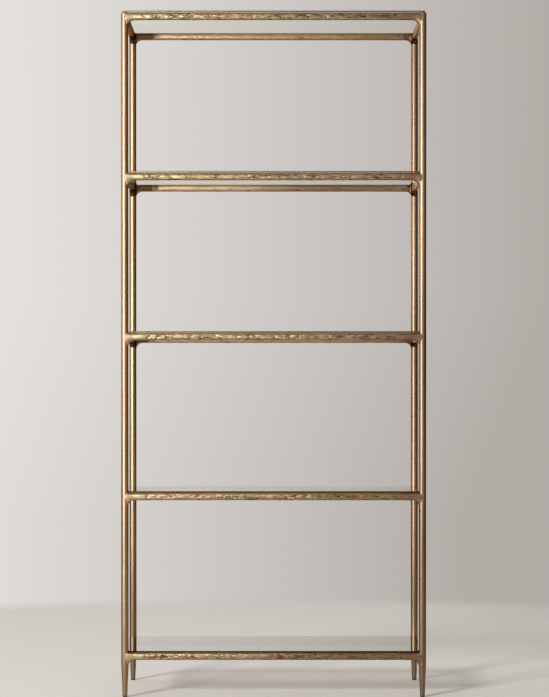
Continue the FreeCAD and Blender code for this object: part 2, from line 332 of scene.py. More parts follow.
def new_piece(name, mesh_data, material, node):
    """A finished mesh as a piece on the welded frame, in place of the CAD node named."""
    mesh = bpy.data.meshes.new(name)
    bmesh.ops.recalc_face_normals(mesh_data, faces=mesh_data.faces)
    mesh_data.to_mesh(mesh)
    mesh_data.free()
    mesh.shade_smooth()
    mesh.materials.append(material)
    piece = bpy.data.objects.new(name, mesh)
    bpy.context.scene.collection.objects.link(piece)
    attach(piece, FRAME_BODY)
    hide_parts(node)
    return piece


def lengthwise(blank):
    """Edges of a blank that run along its length."""
    return [edge for edge in blank.edges if abs(edge.verts[0].co.x - edge.verts[1].co.x) > 0.5]


def bar_blank(rings, width, height, corner):
    """A bar with rounded long edges, one metre long on X, cut into even rings for forging."""
    blank = bmesh.new()
    bmesh.ops.create_cube(blank, size=1.0)
    bmesh.ops.scale(blank, vec=(1.0, width, height), verts=blank.verts)
    bmesh.ops.bevel(blank, geom=lengthwise(blank), offset=corner, offset_type="OFFSET",
                    segments=CORNER_STEPS, profile=0.5, affect="EDGES", material=-1)
    flats = [edge for edge in blank.edges if corner / 2 < edge.calc_length() < 0.5]
    bmesh.ops.subdivide_edges(blank, edges=flats, cuts=FLAT_CUTS, use_grid_fill=True)
    bmesh.ops.subdivide_edges(blank, edges=lengthwise(blank), cuts=rings - 1, use_grid_fill=True)
    return blank


class RailRun:
    """Where one rail lies: from one leg's axis to the next, with the inner side named."""

    def __init__(self, side, level, forging):
        ends = [leg_axis(corner) for corner in RAIL_RUNS[side]]
        span = ends[1] - ends[0]
        self.start = ends[0]
        self.length = span.length
        self.along = span.normalized()
        self.inner = UP.cross(self.along)
        self.middle = RAIL_TOPS[level] - forging.rail_height / 2
        self.crown = 0.0 if level == "top" else forging.crown_reach
        self.is_side = side in ("left", "right")
        # Painted shade towards the rails' right ends, weaker on the top and side rails
        self.right_shade = TOP_RIGHT_PAINTED_SHADE if level == "top" else RIGHT_PAINTED_SHADE
        if self.is_side:
            self.right_shade = SIDE_PAINTED_SHADE
        joints = [end + UP * self.middle for end in ends]
        knee = self.middle - forging.rail_height / 2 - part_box(f"rail_{side}_{level}")[0].z
        knee_noise = [noise.noise(KNEE_PITCH * joint + self.along) for joint in joints]
        # How far the painted shade on the inner faces reaches from each end
        shade_noise = [noise.noise(SHADE_REACH_PITCH * joint) for joint in joints]
        self.knees = [knee * (KNEE_SIZE + KNEE_SWING * value) for value in knee_noise]
        self.shade_reaches = [forging.painted_shade_reach * (1.0 + SHADE_REACH_SWING * value) for value in shade_noise]
        self.lump = Vector((forging.bark_width,) * 3)
        self.lump[1 if self.is_side else 0] = forging.bark_length
        self.fine = self.lump * FINE_BLOW_SIZE

    def place(self, distance, across, height):
        """A point of the frame, from its place along, across and above the rail's middle line."""
        return self.start + self.along * distance + self.inner * across + UP * (self.middle + height)


class Facing:
    """Which way a point on a bar's rounded section faces, as shares of the four sides."""

    def __init__(self, across, up, flat_across, flat_up):
        self.normal = Vector((across - clamp(across, flat_across), up - clamp(up, flat_up))).normalized()
        self.inner = max(self.normal.x, 0.0)
        self.outer = max(-self.normal.x, 0.0)
        self.over = max(self.normal.y, 0.0)
        self.under = max(-self.normal.y, 0.0)


def forge_rail(blank, run, rings, forging):
    """Bends a blank's ends into the knees and flares that meet the legs, and hammers the rest."""
    marks = add_marks(blank)
    flat_across = RAIL_WIDTH / 2 - forging.rail_corner
    flat_up = forging.rail_height / 2 - forging.rail_corner
    leg_radius = LEG_RADIUS - forging.leg_allowance
    outer_rise = leg_radius - RAIL_WIDTH / 2 - JOINT_SINK / 2
    for vert in blank.verts:
        ring = (vert.co.x + 0.5) * rings
        across, up = vert.co.y, vert.co.z
        face = Facing(across, up, flat_across, flat_up)
        outward = face.outer ** 2
        inward = face.inner ** 2
        end = 0 if ring < rings / 2 else 1
        knee = run.knees[end]

        # The end's sweep into the leg
        from_end = min(ring, rings - ring)
        bend = max(0.0, 1.0 - from_end / THROAT_RINGS)
        quarter = bend * math.pi / 2
        travel = (1.0 - outward) * math.sin(quarter) + outward * bend
        lift = 1.0 - math.cos(quarter)
        reach = (face.under ** 2 * knee + face.over ** 2 * max(run.crown, LEAST_CROWN_TRAVEL)
                 + outward * forging.flare_reach + inward * forging.inner_rise * 2)
        end_across = across - face.outer * outer_rise + face.inner * forging.inner_rise
        stop = math.sqrt(max(leg_radius ** 2 - min(abs(end_across), leg_radius) ** 2, 0.0))
        stop = max(stop, ease(face.inner) * RAIL_WIDTH / 2) - JOINT_SINK
        across += face.inner * forging.inner_rise * lift - face.outer * outer_rise * ease(bend)
        up += (face.over * run.crown - face.under * knee) * lift
        straight = stop + reach
        if from_end <= THROAT_RINGS:
            distance = stop + reach * (1.0 - travel)
        else:
            share = (from_end - THROAT_RINGS) / (rings - 2 * THROAT_RINGS)
            distance = straight + (run.length - 2 * straight) * share
        if ring > rings / 2:
            distance = run.length - distance

        # The hammered relief, which fades out towards the legs
        point = run.place(distance, across, up)
        to_leg = min(distance, run.length - distance)
        wander = JOINT_WANDER * noise.noise(point * JOINT_WANDER_PITCH)
        hammered = ease((to_leg - forging.throat_length + wander) / forging.throat_fade)
        struck = outward + inward * forging.inner_bark + face.under ** 2 * forging.under_bark
        blow = COARSE_BLOWS * blows(point, run.lump) + FINE_BLOWS * blows(point, run.fine)
        crown = forging.face_crown * (outward + inward) * (2.0 * vert.co.z / forging.rail_height) ** 2
        depth = forging.bark_depth * hammered * struck * blow + crown * (1.0 - bend)

        vert[marks["relief"]] = hammered * struck * blow
        # 1 on the sides, lower on the top and bottom edges and underneath, which the brass darkens as painted
        # shade
        vert[marks["rub_and_edge_shade"]] = abs(face.normal.x) ** 1.5 + 0.5 * face.over
        for mark, value in rail_finish(run, end, point, to_leg, 2.0 * wander, face, forging).items():
            vert[marks[mark]] = value
        vert.co = run.place(distance, across - face.normal.x * depth, up - face.normal.y * depth)


def rail_finish(run, end, point, to_leg, wander, face, forging):
    """Shares of the joints' colour, mixed with the painted shade on inner faces by the legs, of the inner
    faces' colour, and of patina with painted shade on the right and painted light at the left end, at a point
    of a rail.
    """
    tinted = 1.0 - ease((to_leg - forging.throat_length + wander) / forging.tint_fade)
    shade_end = LEG_RADIUS + run.shade_reaches[end] * painted_shade_share(point.x)
    painted_shade = 1.0 - ease((to_leg - shade_end + wander) / forging.painted_shade_fade)
    hidden = max(face.inner, face.under) if run.is_side else face.inner
    # Painted shade on the right ends and painted light at the left ends
    right_shade_share = run.right_shade * ease((point.x - RIGHT_SHADE_START) / RIGHT_SHADE_LENGTH)
    left_light_share = ease((point.x - LEFT_LIGHT_START) / LEFT_LIGHT_LENGTH)
    patina_and_shade = max(left_light_share * tarnish_and_shade(point, RAIL_SHADE_SLOPE), right_shade_share)
    return {"joint_tint_and_shade": tinted + hidden * (painted_shade - tinted), "inside": hidden, "patina_and_shade": patina_and_shade}


class ETAGERE_OT_rails(Operator):
    """Forge the twenty rails between the legs"""

    bl_idname = "etagere.rails"
    bl_label = "Forge rails"

    def execute(self, context):
        settings = context.scene.etagere
        forging = settings.forging
        finish = settings.finish
        noise.seed_set(forging.hammer_seed)
        long_brass = brass("forged_brass_long_rail", finish, RAIL_FINISH, 0, finish.long_sheen)
        # Shaded copy of the brass for the left rails and lit copy for the right rails
        shaded_left_brass = brass("forged_brass_shaded_left_rail", finish, RAIL_FINISH, 1, finish.shaded_left_sheen)
        lit_right_brass = brass("forged_brass_lit_right_rail", finish, RAIL_FINISH, 1, finish.lit_right_sheen)
        metals = {"front": long_brass, "rear": long_brass, "left": shaded_left_brass, "right": lit_right_brass}
        for level in LEVELS:
            for side in RAIL_RUNS:
                run = RailRun(side, level, forging)
                rings = int(run.length / RING_SPACING)
                blank = bar_blank(rings, RAIL_WIDTH, forging.rail_height, forging.rail_corner)
                forge_rail(blank, run, rings, forging)
                node = f"rail_{side}_{level}"
                piece = new_piece("forged_" + node, blank, metals[side], node)
                if node == "rail_rear_top":
                    bore_anchors(piece, run, forging)
        return {"FINISHED"}


def bore_anchors(piece, run, forging):
    """Cuts the two wall anchor holes into the outer face of a rail."""
    drill = bmesh.new()
    radius = forging.anchor_diameter / 2
    turn = UP.rotation_difference(run.inner).to_matrix()
    for side in (-1, 1):
        made = bmesh.ops.create_cone(drill, cap_ends=True, segments=DRILL_SEGMENTS, radius1=radius,
                                     radius2=radius, depth=2 * forging.anchor_depth)
        bmesh.ops.rotate(drill, cent=(0, 0, 0), matrix=turn, verts=made["verts"])
        spot = run.place(run.length / 2 + side * forging.anchor_spacing / 2, -RAIL_WIDTH / 2, 0.0)
        bmesh.ops.translate(drill, vec=spot, verts=made["verts"])
    mesh = bpy.data.meshes.new("anchor_drill")
    drill.to_mesh(mesh)
    drill.free()
    cutter = bpy.data.objects.new("anchor_drill", mesh)
    bpy.context.scene.collection.objects.link(cutter)
    cut = piece.modifiers.new("anchor_holes", "BOOLEAN")
    cut.operation = "DIFFERENCE"
    cut.solver = "EXACT"
    cut.object = cutter
    graph = bpy.context.evaluated_depsgraph_get()
    bored = bpy.data.meshes.new_from_object(piece.evaluated_get(graph))
    piece.modifiers.clear()
    blank_mesh = piece.data
    piece.data = bored
    bored.name = piece.name
    bpy.data.meshes.remove(blank_mesh)
    bpy.data.objects.remove(cutter)
    bpy.data.meshes.remove(mesh)


class ETAGERE_OT_legs(Operator):
    """Forge the four round legs with their tapered feet"""

    bl_idname = "etagere.legs"
    bl_label = "Forge legs"

    def execute(self, context):
        settings = context.scene.etagere
        finish = settings.finish
        noise.seed_set(settings.forging.hammer_seed)
        leg_brass = brass("forged_brass_leg", finish, LEG_FINISH, 2, finish.leg_sheen)
        for corner in CORNERS:
            blank = forge_leg(corner, settings.forging)
            piece = new_piece("forged_leg_" + corner, blank, leg_brass, "leg_" + corner)
        return {"FINISHED"}


def forge_leg(corner, forging):
    """A round bar drawn down at the foot, rounded at the top and worked in long facets."""
    axis = leg_axis(corner)
    low, high = LEG_LOW.z, LEG_HIGH.z
    radius = LEG_RADIUS - forging.leg_allowance
    rings = int((high - low) / LEG_RING_SPACING) + LEG_CROWN_RINGS
    blank = bmesh.new()
    bmesh.ops.create_cone(blank, cap_ends=True, segments=LEG_SEGMENTS, radius1=1.0, radius2=1.0, depth=1.0)
    uprights = [edge for edge in blank.edges if abs(edge.verts[0].co.z - edge.verts[1].co.z) > 0.5]
    bmesh.ops.subdivide_edges(blank, edges=uprights, cuts=rings - 1, use_grid_fill=True)
    marks = add_marks(blank)
    facet = Vector((forging.leg_facet_width, forging.leg_facet_width, forging.leg_facet_length))
    plain_rings = rings - LEG_CROWN_RINGS
    shoulder = high - forging.leg_crown
    for vert in blank.verts:
        ring = (vert.co.z + 0.5) * rings
        outward = Vector((vert.co.x, vert.co.y, 0.0)).normalized()
        if ring <= plain_rings:
            height = low + (shoulder - low) * ring / plain_rings
            drawn = max(0.0, 1.0 - (height - low) / (FOOT_TAPER_TOP - low))
            reach = radius - (radius - forging.foot_radius) * drawn
        else:
            turn = (ring - plain_rings) / LEG_CROWN_RINGS * math.pi / 2
            height = shoulder + forging.leg_crown * math.sin(turn)
            reach = radius - forging.leg_crown * (1.0 - math.cos(turn))
        point = axis + outward * reach + UP * height
        free = min(abs(height - (top - forging.rail_height)) for top in RAIL_TOPS.values())
        worked = ease((free - LEG_REST) / LEG_REST_FADE)
        blow = blows(point, facet) * worked
        vert[marks["relief"]] = LEG_RELIEF * blow
        vert[marks["rub_and_edge_shade"]] = 1.0
        # Random patina, with painted shade on the right legs and low down
        vert[marks["patina_and_shade"]] = tarnish_and_shade(point, LEG_SHADE_SLOPE)
        vert.co = point - outward * forging.leg_facet_depth * blow
    return blank


class ETAGERE_OT_pads(Operator):
    """Set the clear soft pads on the front and rear rails"""

    bl_idname = "etagere.pads"
    bl_label = "Set shelf pads"

    def execute(self, context):
        settings = context.scene.etagere
        material = silicone(settings.finish)
        for level in LEVELS:
            node = "shelf_pads_" + level
            piece = new_piece("soft_" + node, soft_pads(node, settings.forging), material, node)
        return {"FINISHED"}


def pad_spots(node):
    """Middles of the separate pads in a CAD node, with their radius and thickness."""
    low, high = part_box(node)
    points = [vert.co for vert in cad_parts[node].data.vertices]
    front = [point.x for point in points if point.y < 0.0]
    edges = sorted({round(x, 4) for x in front})
    groups = [[edges[0]]]
    for x in edges[1:]:
        if x - groups[-1][-1] > PAD_GAP:
            groups.append([])
        groups[-1].append(x)
    radius = (groups[0][-1] - groups[0][0]) / 2
    columns = [(group[0] + group[-1]) / 2 for group in groups]
    rows = (low.y + radius, high.y - radius)
    return [Vector((x, y, low.z)) for x in columns for y in rows], radius, high.z - low.z


def soft_pads(node, forging):
    """Low round pads with a softly rounded upper edge."""
    spots, radius, thickness = pad_spots(node)
    pads = bmesh.new()
    for spot in spots:
        made = bmesh.ops.create_cone(pads, cap_ends=True, segments=PAD_SEGMENTS, radius1=radius,
                                     radius2=radius * PAD_TAPER, depth=thickness)
        rim = [edge for edge in pads.edges
               if edge.verts[0] in made["verts"] and edge.verts[0].co.z > 0.0 and edge.verts[1].co.z > 0.0]
        bmesh.ops.bevel(pads, geom=rim, offset=forging.pad_round, offset_type="OFFSET",
                        segments=PAD_ROUND_STEPS, profile=0.5, affect="EDGES", material=-1)
        fresh = [vert for vert in pads.verts if vert.co.z < thickness]
        bmesh.ops.translate(pads, vec=spot + UP * thickness / 2, verts=fresh)
    return pads


class ETAGERE_OT_glides(Operator):
    """Finish the dark nylon glides under the feet"""

    bl_idname = "etagere.glides"
    bl_label = "Finish glides"

    def execute(self, context):
        material = nylon(context.scene.etagere.finish)
        for corner in CORNERS:
            dress(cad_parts["foot_glide_" + corner], material)
        return {"FINISHED"}


class ETAGERE_OT_glass(Operator):
    """Cut the five loose glass shelves, with their ground and polished edges"""

    bl_idname = "etagere.glass"
    bl_label = "Cut glass"

    def execute(self, context):
        finish = context.scene.etagere.finish
        upper = pane("clear_glass_upper_face", finish.glass_tint, finish.glass_mirror, UPPER_GLOSS)
        under = pane("clear_glass_underside", finish.glass_tint, finish.glass_mirror, UNDER_GLOSS)
        edge = glass_edge(finish)
        for level in LEVELS:
            node = "glass_shelf_" + level
            mesh = cut_glass(node)
            for material in (upper, under, edge):
                mesh.materials.append(material)
            piece = bpy.data.objects.new("clear_" + node, mesh)
            context.scene.collection.objects.link(piece)
            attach(piece, level + "_shelf")
            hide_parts(node)
        return {"FINISHED"}


def cut_glass(node):
    """The CAD sheet merged into whole faces, with its rim given the edge's material."""
    sheet = bmesh.new()
    sheet.from_mesh(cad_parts[node].data)
    bmesh.ops.remove_doubles(sheet, verts=sheet.verts, dist=SAME_POINT)
    bmesh.ops.dissolve_limit(sheet, angle_limit=FLAT_ANGLE, verts=sheet.verts, edges=sheet.edges)
    for face in sheet.faces:
        if abs(face.normal.z) > 0.99:
            face.material_index = 0 if face.normal.z > 0.0 else 1
        else:
            face.material_index = 2
        face.smooth = False
    mesh = bpy.data.meshes.new("clear_" + node)
    sheet.to_mesh(mesh)
    sheet.free()
    return mesh


def dress(node, material):
    """Gives a kept CAD node a better material."""
    if not node.material_slots:
        node.data.materials.append(material)
    for place in node.material_slots:
        place.material = material


class Recipe:
    """The node tree of a material, world or lamp, with short calls to add and join nodes."""

    def __init__(self, owner, output="ShaderNodeOutputMaterial"):
        owner.use_nodes = True
        self.owner = owner
        self.tree = owner.node_tree
        self.tree.nodes.clear()
        self.surface = self.add(output).inputs["Surface"]

    def add(self, kind, **settings):
        made = self.tree.nodes.new(kind)
        for key, value in settings.items():
            setattr(made, key, value)
        return made

    def join(self, source, target):
        self.tree.links.new(source, target)

    def give(self, value, target):
        """Sets a socket to a number, or joins it to another socket."""
        if isinstance(value, bpy.types.NodeSocket):
            self.join(value, target)
        else:
            target.default_value = value

    def coordinates(self, scale=(1.0, 1.0, 1.0)):
        place = self.add("ShaderNodeTexCoord")
        mapping = self.add("ShaderNodeMapping")
        mapping.inputs["Scale"].default_value = scale
        self.join(place.outputs["Object"], mapping.inputs["Vector"])
        return mapping.outputs["Vector"]

    def drawn_out(self, axis, stretch):
        """Coordinates for a pattern that is drawn out along one axis."""
        scale = [1.0, 1.0, 1.0]
        scale[axis] = stretch
        return self.coordinates(scale)

    def grain(self, vector, scale, detail=3.0, roughness=0.5):
        made = self.add("ShaderNodeTexNoise")
        made.inputs["Scale"].default_value = scale
        made.inputs["Detail"].default_value = detail
        made.inputs["Roughness"].default_value = roughness
        self.join(vector, made.inputs["Vector"])
        return made.outputs["Fac"]

    def spread(self, value, low, high, new_low=0.0, new_high=1.0):
        """Stretches the range from low to high onto a new one, and stops at its ends."""
        made = self.add("ShaderNodeMapRange")
        made.inputs["From Min"].default_value = low
        made.inputs["From Max"].default_value = high
        made.inputs["To Min"].default_value = new_low
        made.inputs["To Max"].default_value = new_high
        self.join(value, made.inputs["Value"])
        return made.outputs["Result"]

    def ramp(self, value, *stops):
        made = self.add("ShaderNodeValToRGB")
        marks = made.color_ramp.elements
        while len(marks) < len(stops):
            marks.new(0.5)
        for mark, (position, colour) in zip(marks, stops):
            mark.position = position
            mark.color = (*colour, 1.0)
        self.join(value, made.inputs["Fac"])
        return made.outputs["Color"]

    def mix(self, share, first, second):
        """Mixes two colours, each a plain colour or a socket."""
        made = self.add("ShaderNodeMix", data_type="RGBA")
        self.give(share, made.inputs[0])
        for index, colour in ((6, first), (7, second)):
            is_socket = isinstance(colour, bpy.types.NodeSocket)
            self.give(colour if is_socket else (*colour, 1.0), made.inputs[index])
        return made.outputs[2]

    def math(self, operation, first, second):
        made = self.add("ShaderNodeMath", operation=operation)
        self.give(first, made.inputs[0])
        self.give(second, made.inputs[1])
        return made.outputs[0]

    def attribute(self, name):
        return self.add("ShaderNodeAttribute", attribute_name=name).outputs["Fac"]

    def ray(self, kind):
        """1 for a ray of the kind named, and 0 for any other."""
        return self.add("ShaderNodeLightPath").outputs[f"Is {kind} Ray"]

    def bump(self, height, strength, distance):
        made = self.add("ShaderNodeBump")
        made.inputs["Strength"].default_value = strength
        made.inputs["Distance"].default_value = distance
        self.join(height, made.inputs["Height"])
        return made.outputs["Normal"]

    def outside(self, share):
        """A share that holds only for what meets the surface from outside."""
        side = self.add("ShaderNodeNewGeometry").outputs["Backfacing"]
        return self.math("MULTIPLY", self.math("SUBTRACT", 1.0, side), share)

    def principled(self, **values):
        """A shader with the sockets named set to a number or joined to another socket."""
        made = self.add("ShaderNodeBsdfPrincipled")
        for name, value in values.items():
            self.give(value, made.inputs[name.replace("_", " ")])
        return made.outputs["BSDF"]

    def clear(self, tint=(1.0, 1.0, 1.0)):
        made = self.add("ShaderNodeBsdfTransparent")
        made.inputs["Color"].default_value = (*tint, 1.0)
        return made.outputs["BSDF"]

    def either(self, share, first, second):
        """Mixes two shaders."""
        made = self.add("ShaderNodeMixShader")
        self.join(share, made.inputs["Fac"])
        self.join(first, made.inputs[1])
        self.join(second, made.inputs[2])
        return made.outputs["Shader"]

    def see_through(self, shader, tint, share):
        """Shows a shader in the share given, lets the rest of the light through and thins the shadow."""
        seen = self.either(share, self.clear(tint), shader)
        self.show(self.either(self.ray("Shadow"), seen, self.clear(GLASS_SHADOW)))

    def show(self, shader):
        self.join(shader, self.surface)


class BarFinish(NamedTuple):
    """What sets the finish of one kind of bar apart from another's."""

    patches: tuple
    patch_stretch: float
    patch_detail: float
    streak_stretch: float
    streak_least: float
    streak_most: float
    crown_share: float
    fleck_share: float
    roughness: float


RAIL_FINISH = BarFinish(
    patches=((0.32, "copper"), (0.46, "gold"), (0.57, "olive"), (0.72, "pale_gold")),
    patch_stretch=0.22, patch_detail=4.0, streak_stretch=0.07, streak_least=0.0, streak_most=0.32,
    crown_share=0.65, fleck_share=0.85, roughness=0.40)
LEG_FINISH = BarFinish(
    patches=((0.36, "copper"), (0.46, "gold"), (0.55, "olive"), (0.67, "gold")),
    patch_stretch=0.10, patch_detail=1.5, streak_stretch=0.012, streak_least=0.22, streak_most=0.4,
    crown_share=0.1, fleck_share=0.0, roughness=0.36)
POLISHED_ROUGHNESS = 0.28
CHIP_STRETCH = 0.28
GLASS_IOR = 1.52
UPPER_GLOSS = 1.0
UNDER_GLOSS = 0.12
PANE_SHEEN = (0.86, 0.855, 0.84)
RIM_SHEEN = (0.70, 0.62, 0.52)
RIM_SHARE = 0.985
GLASS_SHADOW = (0.76, 0.75, 0.73)


def brass(name, finish, bar, axis, sheen):
    """Antiqued brass: gold, rose and olive patches drawn out along the bar, dark hollows, rubbed crowns, and
    painted shade on the long edges, on inner faces by the legs and towards the right.
    """
    recipe = Recipe(bpy.data.materials.new(name))
    relief, joint_tint_and_shade, rub_and_edge_shade, inside, patina_and_shade = (recipe.attribute(mark) for mark in MARKS)
    patch = recipe.grain(recipe.drawn_out(axis, bar.patch_stretch), 38.0, bar.patch_detail, 0.6)
    streak = recipe.grain(recipe.drawn_out(axis, bar.streak_stretch), 300.0, 3.0, 0.55)
    chip = recipe.grain(recipe.drawn_out(axis, CHIP_STRETCH), 260.0, 2.0)
    grit = recipe.grain(recipe.coordinates(), 900.0, 2.0)

    # Patches, smooth joints (gold where lit, rose where shaded), inner faces, rubbed crowns, and the drift to
    # brown, which is random patina with painted shade on the right and low down
    colour = recipe.ramp(patch, *((place, getattr(finish, shade)) for place, shade in bar.patches))
    weld = recipe.mix(recipe.spread(patina_and_shade, 0.1, 0.7), finish.weld_gold, finish.rose)
    colour = recipe.mix(recipe.spread(joint_tint_and_shade, 0.2, 1.0, 0.0, 0.75), colour, weld)
    colour = recipe.mix(recipe.spread(inside, 0.2, 0.9, 0.0, 0.80), colour, finish.inner_copper)
    crown = recipe.spread(relief, 0.02, 0.22, bar.crown_share, 0.0)
    crown = recipe.math("MULTIPLY", crown, recipe.spread(joint_tint_and_shade, 0.0, 1.0, 1.0, 0.2))
    colour = recipe.mix(crown, colour, finish.pale_gold)
    colour = recipe.mix(recipe.spread(patina_and_shade, 0.15, 1.0, 0.0, 0.62), colour, finish.maroon)

    # Dark streaks, flecks and hollows of patina, with painted shade on the long edges and on the inner faces
    # by the legs
    fleck = recipe.math("MULTIPLY", recipe.spread(chip, 0.575, 0.63, 0.0, bar.fleck_share),
                        recipe.spread(relief, 0.05, 0.25))
    # Painted shade on the rails' top and bottom edges and undersides
    edge = recipe.math("MULTIPLY", recipe.spread(rub_and_edge_shade, 0.80, 0.15, 0.0, 0.35),
                       recipe.spread(inside, 0.1, 0.9, 1.0, 0.0))
    shades = (
        recipe.spread(streak, 0.48, 0.75, bar.streak_least, bar.streak_most),
        fleck,
        edge,
        # Painted shade on the inner faces by the legs
        recipe.spread(recipe.math("MULTIPLY", joint_tint_and_shade, inside), 0.2, 0.9, 0.0, 0.92),
        recipe.spread(relief, 0.36, 0.74, 0.0, 0.82),
    )
    for shade in shades:
        colour = recipe.mix(shade, colour, finish.umber)

    pitted = recipe.math("SUBTRACT", recipe.math("MULTIPLY", grit, 0.3), fleck)
    recipe.show(recipe.principled(
        Base_Color=colour, Metallic=1.0, Specular_Tint=(*sheen, 1.0),
        Roughness=recipe.spread(patch, 0.3, 0.7, bar.roughness, POLISHED_ROUGHNESS),
        Normal=recipe.bump(pitted, 0.35, 0.0005)))
    return recipe.owner


def pane(name, tint, mirror, gloss):
    """One face of a clear sheet: see-through, with a reflection that grows towards a grazing view."""
    recipe = Recipe(bpy.data.materials.new(name))
    smear = recipe.spread(recipe.grain(recipe.coordinates((1.0, 2.0, 1.0)), 9.0, 4.0), 0.45, 0.75)
    wiped = tuple(0.95 * part for part in mirror)
    shader = recipe.principled(Base_Color=recipe.mix(smear, mirror, wiped), Metallic=1.0, Roughness=0.0,
                               Specular_Tint=(*PANE_SHEEN, 1.0))

    # The sheet turns to a mirror early, and at the flattest view lets a little through again
    fresnel = recipe.add("ShaderNodeFresnel")
    fresnel.inputs["IOR"].default_value = GLASS_IOR
    bounce = fresnel.outputs["Fac"]
    steep = recipe.spread(bounce, 0.36, 0.54)
    sheer = recipe.spread(bounce, 0.60, 0.74, 1.0, 0.86)
    grazing = recipe.math("MAXIMUM", bounce, recipe.math("MULTIPLY", steep, sheer))
    recipe.see_through(shader, tint, recipe.outside(recipe.math("MULTIPLY", grazing, gloss)))
    return recipe.owner


def glass_edge(finish):
    """The rim of a sheet: a brown metal that paints the reflection of the brass frame, with painted shade
    deeper on the lower shelves and painted light on the higher ones.
    """
    recipe = Recipe(bpy.data.materials.new("polished_glass_edge"))
    place = recipe.add("ShaderNodeSeparateXYZ")
    recipe.join(recipe.coordinates(), place.inputs[0])
    rise = recipe.spread(place.outputs["Z"], 0.0, CAD_BOX[1].z)
    # Painted shade on the lower rims, painted light on the higher ones
    colour = recipe.ramp(rise, (0.08, finish.low_edge), (0.30, finish.glass_edge), (0.53, finish.high_edge),
                         (0.76, finish.top_edge))
    ripple = recipe.grain(recipe.coordinates((1.0, 1.0, 4.0)), 60.0)
    shade = recipe.spread(ripple, 0.35, 0.65, 0.0, 0.35)
    # A brown metal paints the brass frame's reflection into the rim
    shader = recipe.principled(
        Base_Color=recipe.mix(shade, colour, finish.low_edge), Metallic=1.0,
        Roughness=recipe.spread(ripple, 0.3, 0.7, 0.30, 0.44), Specular_Tint=(*RIM_SHEEN, 1.0))
    recipe.see_through(shader, finish.glass_tint, recipe.outside(RIM_SHARE))
    return recipe.owner


def silicone(finish):
    """Cloudy clear silicone with a dusty skin."""
    recipe = Recipe(bpy.data.materials.new("clear_soft_silicone"))
    cloud = recipe.grain(recipe.coordinates(), 320.0)
    dusty = tuple(0.86 * part for part in finish.silicone)
    recipe.show(recipe.principled(
        Base_Color=recipe.mix(cloud, finish.silicone, dusty), Transmission_Weight=0.45, IOR=1.41,
        Roughness=recipe.spread(cloud, 0.3, 0.7, 0.28, 0.48), Normal=recipe.bump(cloud, 0.2, 0.0002)))
    return recipe.owner


def nylon(finish):
    """Dark moulded nylon with paler scuffs."""
    recipe = Recipe(bpy.data.materials.new("dark_moulded_nylon"))
    scuff = recipe.grain(recipe.coordinates((1.0, 1.0, 3.0)), 420.0, 4.0)
    grey = tuple(3.2 * part + 0.02 for part in finish.nylon)
    worn = recipe.spread(scuff, 0.5, 0.72, 0.0, 0.6)
    recipe.show(recipe.principled(
        Base_Color=recipe.mix(worn, finish.nylon, grey), IOR=1.53,
        Roughness=recipe.spread(scuff, 0.3, 0.7, 0.42, 0.62), Normal=recipe.bump(scuff, 0.3, 0.0003)))
    return recipe.owner


# Lamps of the stage: sizes, places and what they are aimed at, in metres
LAMP_AIM = Vector((0.0, 0.0, 1.05))
KEY_SIZE = (2.8, 2.6)
KEY_SPOT = Vector((-1.95, -2.95, 1.50))
FILL_SIZE = (1.2, 2.6)
FILL_SPOT = Vector((1.5, -2.9, 1.50))
TOP_SIZE = (5.0, 5.0)
TOP_SPOT = Vector((-2.2, 1.8, 5.2))
TOP_AIM = Vector((-2.2, 1.8, 0.0))
SHADOW_SIZE = (2.3, 2.3)
SHADOW_SPOT = Vector((-6.3, -8.85, 4.65))
SHADOW_AIM = Vector((0.0, 0.0, 0.3))

# Cards of the stage: the middle, the facing and half the width of each
RIGHT_FLAG = (Vector((1.9, 2.55, 1.3)), Vector((-1.0, 0.0, 0.0)), 2.5)
CEILING_FLAG = (Vector((0.0, 0.0, 3.1)), Vector((0.0, 0.0, -1.0)), 2.6)
LEFT_FLAG = (Vector((-1.9, 1.6, -0.6)), Vector((1.0, -0.3, 0.0)), 1.5)

# Shades of the stage, as seen by the camera or mirrored in the metal
BACKDROP_TURN = 0.125
HORIZON_TOP = 0.04
HORIZON_BOTTOM = -0.06
HORIZON_SHADE = 0.15
ROOM_START = 0.10
ROOM_END = -0.25
ROOM_LEAN = -0.35
ROOM_CORNER = 0.5
MIRRORED_FLOOR = 0.6
AMBIENT_COLOUR = (1.0, 0.97, 0.93)


class ETAGERE_OT_stage(Operator):
    """Set the camera, pale floor, backdrop and lamps"""

    bl_idname = "etagere.stage"
    bl_label = "Set stage"

    def execute(self, context):
        stage = context.scene.etagere.stage
        context.scene.view_settings.view_transform = "Standard"
        set_camera(context.scene, stage)
        lay_floor(stage)
        hang_backdrop(context.scene, stage)
        key = set_lamp("key_lamp", stage.key_power, KEY_SIZE, KEY_SPOT, LAMP_AIM)
        key.visible_diffuse = False
        fill = set_lamp("fill_lamp", stage.fill_power, FILL_SIZE, FILL_SPOT, LAMP_AIM)
        fill.visible_diffuse = False
        top = set_lamp("top_lamp", stage.top_power, TOP_SIZE, TOP_SPOT, TOP_AIM)
        top.visible_glossy = False
        distant = set_lamp("shadow_lamp", stage.shadow_power, SHADOW_SIZE, SHADOW_SPOT, SHADOW_AIM)
        distant.visible_glossy = False
        hang_flag("right_flag", *RIGHT_FLAG, stage.dark_cloth)
        hang_flag("ceiling_flag", *CEILING_FLAG, stage.grey_cloth)
        hang_flag("left_flag", *LEFT_FLAG, stage.dark_cloth)
        return {"FINISHED"}


